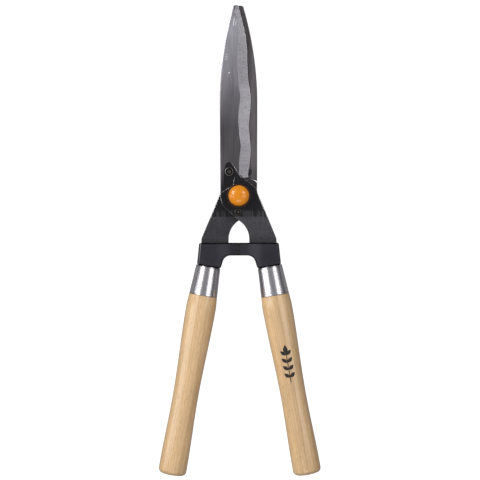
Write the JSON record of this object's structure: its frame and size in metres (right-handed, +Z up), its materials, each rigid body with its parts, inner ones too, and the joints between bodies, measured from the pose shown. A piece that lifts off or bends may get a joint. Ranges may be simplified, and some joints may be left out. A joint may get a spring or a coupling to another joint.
{
  "type": "hedge shears",
  "caption": "Hand hedge shears lying closed: wavy-edged steel blades on black cranked arms, capped pivot bolt, black stop collars, polished ferrules and oval wooden handles.",
  "frame": {"origin": "on the pivot axis, at the flat underside of the bolt head, which is one of the three places that the shears lie on", "axes": "+X across the shears towards the handle of the front half, +Y along the shears to the blade tips, +Z up, from the bolt head towards the cap"},
  "size_m": [0.1836, 0.5332, 0.0362],
  "materials": {
    "blade_steel": "satin, dark etched face with a lighter ground band along the edge",
    "arm_paint": "black semi-gloss paint on pressed steel",
    "rivet_steel": "blackened, slightly worn",
    "fastener_steel": "zinc plated",
    "washer_black": "black oxide",
    "lock_nylon": "natural nylon",
    "cap_plastic": "glossy orange",
    "collar_plastic": "black, fine moulded texture",
    "ferrule_chrome": "polished",
    "handle_wood": "light hardwood, clear satin lacquer"
  },
  "bodies": {
    "rear_half": {"rear_blade": "blade_steel", "rear_arm": "arm_paint", "rear_upper_rivet": "rivet_steel", "rear_lower_rivet": "rivet_steel", "left_collar": "collar_plastic", "left_ferrule": "ferrule_chrome", "left_handle": "handle_wood", "pivot_bolt": "fastener_steel", "bolt_washer": "fastener_steel", "nut_washer": "washer_black", "spring_washer": "fastener_steel", "pivot_nut": "fastener_steel", "nut_lock_ring": "lock_nylon", "pivot_cap": "cap_plastic"},
    "front_half": {"front_blade": "blade_steel", "front_arm": "arm_paint", "front_upper_rivet": "rivet_steel", "front_lower_rivet": "rivet_steel", "right_collar": "collar_plastic", "right_ferrule": "ferrule_chrome", "right_handle": "handle_wood"}
  },
  "joints": [
    {"name": "blade_pivot", "type": "hinge", "parent": "rear_half", "child": "front_half", "pos_m": [0, 0, 0.01445], "axis": [0, 0, 1], "range_deg": [0, 65]}
  ]
}
